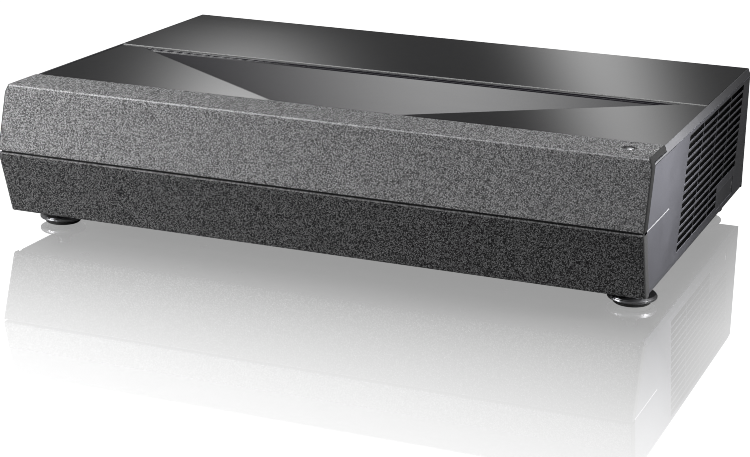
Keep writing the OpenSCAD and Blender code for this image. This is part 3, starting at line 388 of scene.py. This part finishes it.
def dress():
    """Gives each CAD node its finish."""
    satin = paint("satin_grey_paint", (0.10, 0.10, 0.114), 0.42, 0.3, PANEL_SKIN)
    cover = paint("satin_cover_paint", (0.08, 0.08, 0.09), 0.42, 0.3)
    rail = paint("satin_rail_paint", (0.17, 0.17, 0.18), 0.38, 0.35)
    # The inside of the cover's slot gets a light grey painted highlight for its lit edge.
    painted_light_band(cover, 0, 0, 279.79, (0.8, 0.8, 0.8), 0.5)
    gunmetal = gloss("gunmetal_gloss", (0.010, 0.010, 0.011))
    # The lid's front edge gets a lighter grey painted highlight.
    lid = gloss("lid_gloss", (0.010, 0.010, 0.011))
    painted_light_band(lid, 1, LID_FRONT - 1, LID_FRONT + 0.3, (0.2, 0.2, 0.2), 0.85)
    # The bay's front rim gets a black painted shade, and where it ends under the lid a matt grey band is
    # painted lighter over a shade line.
    bay = gloss("bay_gloss", (0.010, 0.0095, 0.012), 0.11, 0.6)
    painted_light_band(bay, 1, -135, -124.8, (0.002, 0.002, 0.002), 0.6)
    painted_light_band(bay, 1, LID_FRONT - 4.1, LID_FRONT + 1, (0.08, 0.08, 0.08), 0.85)
    black = moulded("black_moulding", (0.011, 0.011, 0.012), 0.6)
    cast = metal("cast_aluminium", (0.5, 0.5, 0.51), 0.42)
    fins = metal("stamped_aluminium", (0.75, 0.76, 0.77), 0.3)
    steel = metal("plated_steel", (0.62, 0.62, 0.63), 0.25)
    looks = {
        "base_tray": moulded("tray_moulding", (0.022, 0.022, 0.024), 0.6, 0.6, 0.05),
        "left_side_panel": satin, "right_side_panel": satin, "service_cover": cover,
        "left_top_rail": rail, "right_top_rail": rail,
        "rear_panel": moulded("rear_moulding", (0.016, 0.016, 0.018), 0.5, 0.5, 0.04),
        "top_cover": gunmetal, "rear_lid": lid, "lens_bay": bay,
        "exit_window": glass("window_glass", (0.55, 0.58, 0.66)),
        "front_baffle": black, "grille_frame": black, "speaker_boxes": black, "fan_frames": black,
        "mirror_bracket": black, "vent_screens": moulded("screen_mesh", (0.003, 0.003, 0.003), 0.8),
        "accent_strips": paint("accent_silver", (0.36, 0.36, 0.375), 0.5, 0.2),
        "power_button": metal("button_metal", (0.8, 0.8, 0.82), 0.2, 2, (*BUTTON, 0)),
        "button_bezel": gloss("bezel_gloss", (0.01, 0.01, 0.011), 0.12),
        "button_board": board("button_circuit", 0.1096), "main_board": board("main_circuit", 0.0396),
        "dmd_board": board("chip_circuit", 0.120, horizontal=False),
        "power_supply": board("supply_circuit", 0.0376, (0.2, 0.11, 0.045)),
        "status_lights": lit("light_pipe", (0.75, 0.8, 0.9), 0.12),
        "aspheric_mirror": metal("mirror_coat", (0.92, 0.93, 0.94), 0.03),
        "lens_barrel": metal("barrel_anodised", (0.06, 0.06, 0.065), 0.38, 1, OPTICAL_AXIS),
        "light_engine_case": cast, "speaker_baskets": cast,
        "fixed_lenses": glass("lens_glass", (0.9, 0.95, 0.97)),
        "relay_optics": glass("relay_glass", (0.9, 0.95, 0.97)),
        "focus_lens_group": metal("carrier_anodised", (0.12, 0.12, 0.13), 0.3, 1, OPTICAL_AXIS),
        "focus_ring": moulded("ring_nylon", (0.3, 0.3, 0.31), 0.5, 0.6, 0.02),
        "focus_pinion": moulded("pinion_acetal", (0.75, 0.71, 0.6), 0.4, 0.6, 0.01),
        "focus_motor": steel, "wheel_motors": steel, "dmd_heatsink": fins, "laser_heatsink": fins,
        "laser_module": metal("laser_copper", (0.72, 0.4, 0.24), 0.35),
        "phosphor_wheel": metal("phosphor_coat", (0.85, 0.72, 0.2), 0.45, 1, PHOSPHOR_AXIS),
        "colour_wheel": glass("filter_glass", (0.35, 0.6, 0.8)),
        "io_connectors": steel, "ac_inlet": moulded("inlet_thermoset", (0.02, 0.02, 0.021), 0.4),
        "case_screws": metal("black_zinc", (0.09, 0.09, 0.095), 0.35),
    }
    rotor = moulded("rotor_moulding", (0.03, 0.03, 0.032), 0.45)
    cone = moulded("cone_paper", (0.02, 0.02, 0.021), 0.85, 0.9, 0.12)
    for side in ("left", "right"):
        looks[side + "_woofer_cone"] = cone
        for end in ("front", "rear"):
            looks[f"{side}_{end}_rotor"] = rotor
    for end in ("front", "rear"):
        for side in ("left", "right"):
            low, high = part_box(f"{end}_{side}_foot")
            mid = (low + high) / 2 / MM
            looks[f"{end}_{side}_foot"] = metal(f"foot_chrome_{end}_{side}", (0.24, 0.24, 0.25), 0.36, 2,
                                                (mid.x, mid.y, 0))
            looks[f"{end}_{side}_pad"] = rubber(f"pad_rubber_{end}_{side}")
    for name, data in looks.items():
        mesh = NODES[name].data
        mesh.materials.clear()
        mesh.materials.append(data)
    # Moulded and sheet parts catch light on a slightly rounded edge. Widths are in mm.
    soft_edges = {"left_side_panel": 0.3, "right_side_panel": 0.3, "top_cover": 0.3, "rear_lid": 0.35,
                  "left_top_rail": 0.35, "right_top_rail": 0.35, "lens_bay": 0.3, "service_cover": 0.15,
                  "rear_panel": 0.3, "base_tray": 0.4, "ac_inlet": 0.3, "accent_strips": 0.1}
    for name, width in soft_edges.items():
        weld = NODES[name].modifiers.new("weld", "WELD")
        weld.merge_threshold = 0.00002
        bevel = NODES[name].modifiers.new("edge", "BEVEL")
        bevel.width, bevel.segments, bevel.limit_method = width * MM, 2, "ANGLE"
        bevel.angle_limit, bevel.use_clamp_overlap, bevel.harden_normals = math.radians(25), True, True


# ---------------------------------------------------------------- cloth

# The body's half width, the heights of the crease, the underside and the top, and how far the front leans
# back above and below the crease.
HALF, CREASE, LOW, TOP = 280.0, 76.0, 19.0, 131.0
FRONT, LEAN_TOP, LEAN_LOW = -190.5, 15, 20
# How far a cloth wraps round an end, how proud it stands, and the radius of its top edge.
WRAP, SKIN, EDGE = 8.0, 0.35, 0.9
# The rails: their seam, the lip under the cloth's end, and their slope. Last, where the top strip ends.
RAIL_SEAM, LIP, BEVEL = 124.8, 127.5, 2.4 / 6.2
STRIP_REAR = -129.5


def front_y(z):
    """Where the front face is at a height."""
    if z > CREASE:
        return FRONT + LEAN_TOP * (z - CREASE) / (TOP - CREASE)
    return FRONT + LEAN_LOW * (CREASE - z) / (CREASE - LOW)


def half_at(z):
    """Half the body's width at a height, less where the rails slope in."""
    return HALF - max(0.0, min(z, TOP) - RAIL_SEAM) * BEVEL


def resample(path, pitch):
    """Points along a polyline, no further apart than pitch, keeping its corners."""
    out = [path[0]]
    for a, b in zip(path, path[1:]):
        n = max(1, math.ceil(math.dist(a, b) / pitch))
        out += [tuple(p + (q - p) * i / n for p, q in zip(a, b)) for i in range(1, n + 1)]
    return out


def cloth_row(y, z, target, count=190):
    """One row across the front, with a soft corner at each end and a run from there to its target."""
    edge = Vector((half_at(z), y, z))
    run = Vector(target) - edge
    far = run.length
    run.normalize()
    ends = [edge + Vector((-0.22, 0, 0)) + run * 0.12, edge + Vector((0.12, 0, 0)) + run * 0.55]
    ends += [edge + run * (far * t) + Vector((0.3, 0, 0)) for t in (0.3, 0.65, 1.0)]
    inner = edge.x - 0.9
    row = [Vector((inner * (2 * i / count - 1), y, z)) for i in range(count + 1)]
    return [Vector((-p.x, p.y, p.z)) for p in reversed(ends)] + row + ends


def cloth_object(name, rows, material, hole=None):
    """A sheet through rows of points, given the thickness of cloth, with a round hole at (x, y, radius)."""
    bm = bmesh.new()
    made = [[bm.verts.new(p * MM) for p in row] for row in rows]
    for r0, r1 in zip(made, made[1:]):
        for a, b, c, d in zip(r0, r0[1:], r1[1:], r1):
            bm.faces.new((a, b, c, d))
    bmesh.ops.recalc_face_normals(bm, faces=bm.faces)
    mesh = bpy.data.meshes.new(name)
    bm.to_mesh(mesh)
    bm.free()
    ob = bpy.data.objects.new(name, mesh)
    bpy.context.scene.collection.objects.link(ob)
    solid = ob.modifiers.new("cloth", "SOLIDIFY")
    solid.thickness, solid.offset = 0.6 * MM, 0
    if hole:
        bm = bmesh.new()
        bmesh.ops.create_cone(bm, cap_ends=True, segments=64, radius1=hole[2] * MM, radius2=hole[2] * MM,
                              depth=0.008, matrix=Matrix.Translation((hole[0] * MM, hole[1] * MM, TOP * MM)))
        drill = bpy.data.meshes.new("drill")
        bm.to_mesh(drill)
        bm.free()
        cutter = bpy.data.objects.new("drill", drill)
        bpy.context.scene.collection.objects.link(cutter)
        cut = ob.modifiers.new("hole", "BOOLEAN")
        cut.object, cut.operation, cut.solver = cutter, "DIFFERENCE", "EXACT"
        graph = bpy.context.evaluated_depsgraph_get()
        mesh = bpy.data.meshes.new_from_object(ob.evaluated_get(graph))
        ob.modifiers.clear()
        ob.data = mesh
        bpy.data.objects.remove(cutter)
        bpy.data.meshes.remove(drill)
    mesh.materials.clear()
    mesh.materials.append(material)
    mesh.shade_smooth()
    mesh.set_sharp_from_angle(angle=math.radians(50))
    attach(ob, "body")
    return ob


def upper_cloth(material):
    """One cloth from the crease, over the top edge, back to the top cover, and round both ends."""
    lean = math.atan(LEAN_TOP / (TOP - CREASE))
    path = [(front_y(77.5) + 3.2, 77.6), (front_y(77.3) + 0.7, 77.3), (front_y(77.6) - SKIN + 0.15, 77.6),
            (front_y(78.2) - SKIN, 78.2), (front_y(RAIL_SEAM) - SKIN, RAIL_SEAM), (front_y(LIP) - SKIN, LIP),
            (front_y(TOP - EDGE) - SKIN, TOP - EDGE)]
    mid = front_y(TOP - EDGE) + EDGE / math.cos(lean)
    turn = math.pi / 2 - lean
    reach = EDGE + SKIN
    for i in range(1, 6):
        angle = lean + turn * i / 5
        path.append((mid - reach * math.cos(angle), TOP - EDGE + reach * math.sin(angle)))
    path += [(STRIP_REAR - 0.9, TOP + SKIN), (STRIP_REAR - 0.35, TOP + 0.1), (STRIP_REAR - 0.25, TOP - 2.2)]
    pivot = front_y(LIP) + WRAP
    rows = []
    for y, z in resample(path, 2.5):
        if z <= LIP:
            target = (half_at(z), front_y(z) + WRAP, z)
        else:
            target = (half_at(LIP), min(max(y, pivot), STRIP_REAR - 2), LIP)
        rows.append(cloth_row(y, z, target))
    ob = cloth_object("upper_cloth", rows, material, hole=(*BUTTON, 6.35))
    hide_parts("upper_fabric")


def lower_cloth(material):
    """One cloth from the underside to the crease, round both ends."""
    path = [(front_y(19.6) + 4, 19.7), (front_y(19.5) + 0.8, 19.4), (front_y(20.2) - SKIN, 20.2),
            (front_y(73.8) - SKIN, 73.8), (front_y(74.5) - SKIN + 0.15, 74.5), (front_y(74.8) + 0.6, 74.75),
            (front_y(75) + 3.2, 74.6)]
    rows = [cloth_row(y, z, (HALF, front_y(z) + WRAP, z)) for y, z in resample(path, 2.5)]
    ob = cloth_object("lower_cloth", rows, material)
    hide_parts("lower_fabric")


# ---------------------------------------------------------------- studio

def floor():
    """A white floor. Its polish is full under the object's outline and fades over a reach in metres, sooner
    beside the object than before it."""
    s = 6.0
    edge_x, edge_y = 0.28, 0.16
    narrow, reach, shine_share = 0.42, 0.25, 0.67
    mesh = bpy.data.meshes.new("floor")
    mesh.from_pydata([(-s, -s, 0), (s, -s, 0), (s, s, 0), (-s, s, 0)], [], [(0, 1, 2, 3)])
    ob = bpy.data.objects.new("floor", mesh)
    bpy.context.scene.collection.objects.link(ob)
    data = bpy.data.materials.new("floor")
    data.use_nodes = True
    g = Graph(data.node_tree)
    g.tree.nodes.clear()
    p = g.node("ShaderNodeTexCoord", out="Object")
    dx = g.math("MAXIMUM", g.math("SUBTRACT", g.math("ABSOLUTE", g.axis(p, 0)), edge_x), 0.0)
    dy = g.math("MAXIMUM", g.math("SUBTRACT", g.math("ABSOLUTE", g.axis(p, 1)), edge_y), 0.0)
    d = g.math("MAXIMUM", g.math("DIVIDE", dx, narrow), dy)
    fall = g.math("POWER", g.math("DIVIDE", d, reach), 1.4)
    fade = g.math("MULTIPLY", g.math("EXPONENT", g.math("MULTIPLY", fall, -1.0)), shine_share)
    matt = g.node("ShaderNodeBsdfDiffuse", {"Color": (0.1, 0.1, 0.1, 1)})
    path = g.tree.nodes.new("ShaderNodeLightPath")
    glow = g.node("ShaderNodeEmission", {"Color": (1, 1, 1, 1), "Strength": g.span(
        path.outputs["Is Camera Ray"], 0, 1, 0.08, 0.98)})
    base = g.node("ShaderNodeAddShader", {0: matt, 1: glow})
    shine = g.node("ShaderNodeBsdfGlossy", {"Color": (1, 1, 1, 1), "Roughness": 0.0})
    out = g.tree.nodes.new("ShaderNodeOutputMaterial")
    g.tree.links.new(g.node("ShaderNodeMixShader", {0: fade, 1: base, 2: shine}), out.inputs["Surface"])
    mesh.materials.append(data)


def world():
    """White behind everything, and a soft studio with tall strip lights in what the gloss sees.
    az and el are the direction in degrees; strips are (place, width) along az."""
    w = bpy.data.worlds.new("studio")
    bpy.context.scene.world = w
    w.use_nodes = True
    g = Graph(w.node_tree)
    g.tree.nodes.clear()
    d = g.node("ShaderNodeTexCoord", out="Generated")
    x, y, z = (g.axis(d, i) for i in range(3))
    az = g.math("DEGREES", g.math("ARCTAN2", x, y))
    el = g.math("DEGREES", g.math("ARCSINE", z))

    def strip(at, width):
        k = g.math("DIVIDE", g.math("SUBTRACT", az, at), width)
        return g.math("EXPONENT", g.math("MULTIPLY", g.math("MULTIPLY", k, k), -1.0))

    def ease(value, a, b, low, high):
        return g.node("ShaderNodeMapRange", {"Value": value, "From Min": a, "From Max": b, "To Min": low,
                                             "To Max": high}, interpolation_type="SMOOTHSTEP")

    below = ease(el, 15, 20, 1.0, 0.0)
    left = g.math("MULTIPLY", g.math("MULTIPLY", strip(-25.4, 2.4), g.span(el, 10.7, 13.0, 0.05, 1.3)), below)
    slanted = g.math("ADD", -14.5, g.math("MULTIPLY", g.math("SUBTRACT", el, 12.4), 0.4))
    right = g.math("MULTIPLY", g.math("MULTIPLY", strip(slanted, 1.85), 0.9), below)
    upper = g.math("MULTIPLY", g.math("MULTIPLY", strip(-21.4, 5.2), 1.65),
                   g.math("MULTIPLY", ease(el, 17, 23, 0.0, 1.0), ease(el, 36, 44, 1.0, 0.0)))
    around = ease(g.math("ABSOLUTE", g.math("ADD", az, 115.0)), 75, 45, 0.02, 0.3)
    sky = ease(el, 30, 60, 0.0, 0.4)
    level = 0.06
    for part in (left, right, upper, around, sky):
        level = g.math("ADD", level, part)
    # The camera, and the floor's first mirror image, see plain white.
    path = g.tree.nodes.new("ShaderNodeLightPath")
    mirrored = g.math("MULTIPLY", path.outputs["Is Singular Ray"],
                      g.math("LESS_THAN", path.outputs["Ray Depth"], 2.5))
    clear = g.math("MAXIMUM", path.outputs["Is Camera Ray"], mirrored)
    strength = g.math("ADD", g.math("MULTIPLY", level, g.math("SUBTRACT", 1.0, clear)),
                      g.math("MULTIPLY", clear, 1.1))
    back = g.node("ShaderNodeBackground", {"Color": (1, 1, 1, 1), "Strength": strength})
    out = g.tree.nodes.new("ShaderNodeOutputWorld")
    g.tree.links.new(back, out.inputs["Surface"])


def softbox(name, place, aim, size, watts, spread=180):
    """A rectangular light that the camera doesn't see. Its size is in metres and its spread in degrees."""
    data = bpy.data.lights.new(name, "AREA")
    data.shape, data.size, data.size_y, data.energy = "RECTANGLE", size[0], size[1], watts
    data.spread = math.radians(spread)
    ob = bpy.data.objects.new(name, data)
    ob.location = place
    ob.rotation_euler = (Vector(place) - Vector(aim)).to_track_quat("Z", "Y").to_euler()
    ob.visible_camera = False
    bpy.context.scene.collection.objects.link(ob)
    return ob


def studio():
    """The floor, the world, three soft lights, and a plain view transform."""
    floor()
    world()
    softbox("overhead", (-0.1, 0.1, 1.7), (0, 0, 0), (1.6, 1.2), 15.5)
    softbox("front_left", (-0.66, -0.71, 0.41), (-0.15, -0.1, 0.08), (0.35, 0.3), 12.2)
    softbox("right", (0.50, -0.14, 0.155), (0.28, -0.12, 0.14), (0.06, 0.06), 0.55, 100)
    view = bpy.context.scene.view_settings
    view.view_transform, view.look, view.exposure, view.gamma = "Standard", "None", 0.0, 1.0
    bpy.context.scene.cycles.filter_width = 0.9


camera()
dress()
# bright gives each cloth a painted highlight along its top edge; ends sets the painted shade on its ends.
upper_cloth(heather("heather_grey", (0.012, 0.012, 0.0125), (0.33, 0.33, 0.336), (0.33, 0.97), 0.8,
                    bright=[(1, -176.5, -175.9, 2, 130.0)], gain=1.4, ends=0.09, steep=(0.04, 0.9)))
lower_cloth(heather("heather_charcoal", (0.002, 0.002, 0.0025), (0.15, 0.15, 0.153), (-0.2, 1.0), 0.9,
                    bright=[(2, 74.4, 76.0, 2, 70.0)], gain=1.6, ends=0.9, steep=(0.26, 0.88)))
studio()
